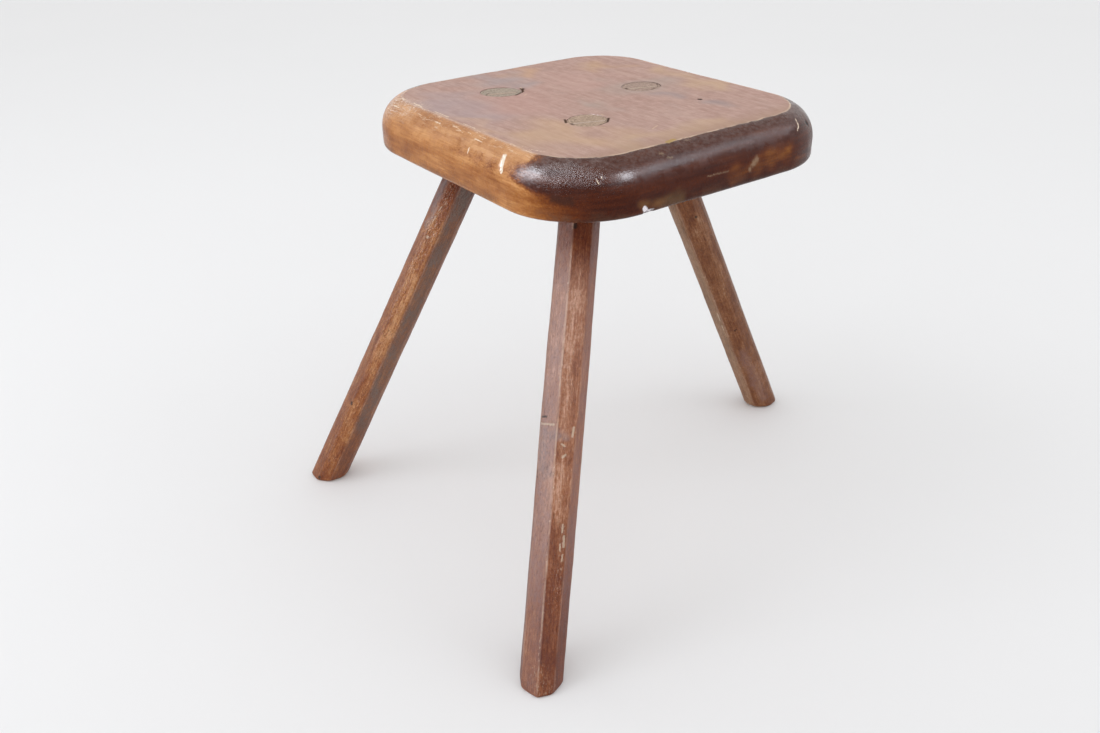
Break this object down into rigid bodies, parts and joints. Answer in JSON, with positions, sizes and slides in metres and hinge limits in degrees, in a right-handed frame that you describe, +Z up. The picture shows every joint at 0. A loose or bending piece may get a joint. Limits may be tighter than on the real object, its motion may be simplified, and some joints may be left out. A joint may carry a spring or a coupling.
{
  "type": "three-legged stool",
  "caption": "Low wooden stool with a thick round-edged plank seat and splayed eight-sided legs wedged through it.",
  "frame": {"origin": "on the floor, under the middle of the box round the whole stool", "axes": "+Z up; +X towards the single leg, with the paired legs on the -X side; the seat's grain runs along Y"},
  "size_m": [0.4873, 0.3916, 0.385],
  "materials": {
    "seat_wood": "old softwood, satin and dark on the rounded edges, worn matte and pinkish-brown on top",
    "leg_wood": "shaved by hand, stained reddish-brown, pale along the worn corners",
    "wedge_wood": "bare end grain, worn matte"
  },
  "bodies": {
    "root": {"seat": "seat_wood", "leg_left": "leg_wood", "leg_front": "leg_wood", "leg_right": "leg_wood", "wedge_left": "wedge_wood", "wedge_front": "wedge_wood", "wedge_right": "wedge_wood"}
  },
  "joints": []
}
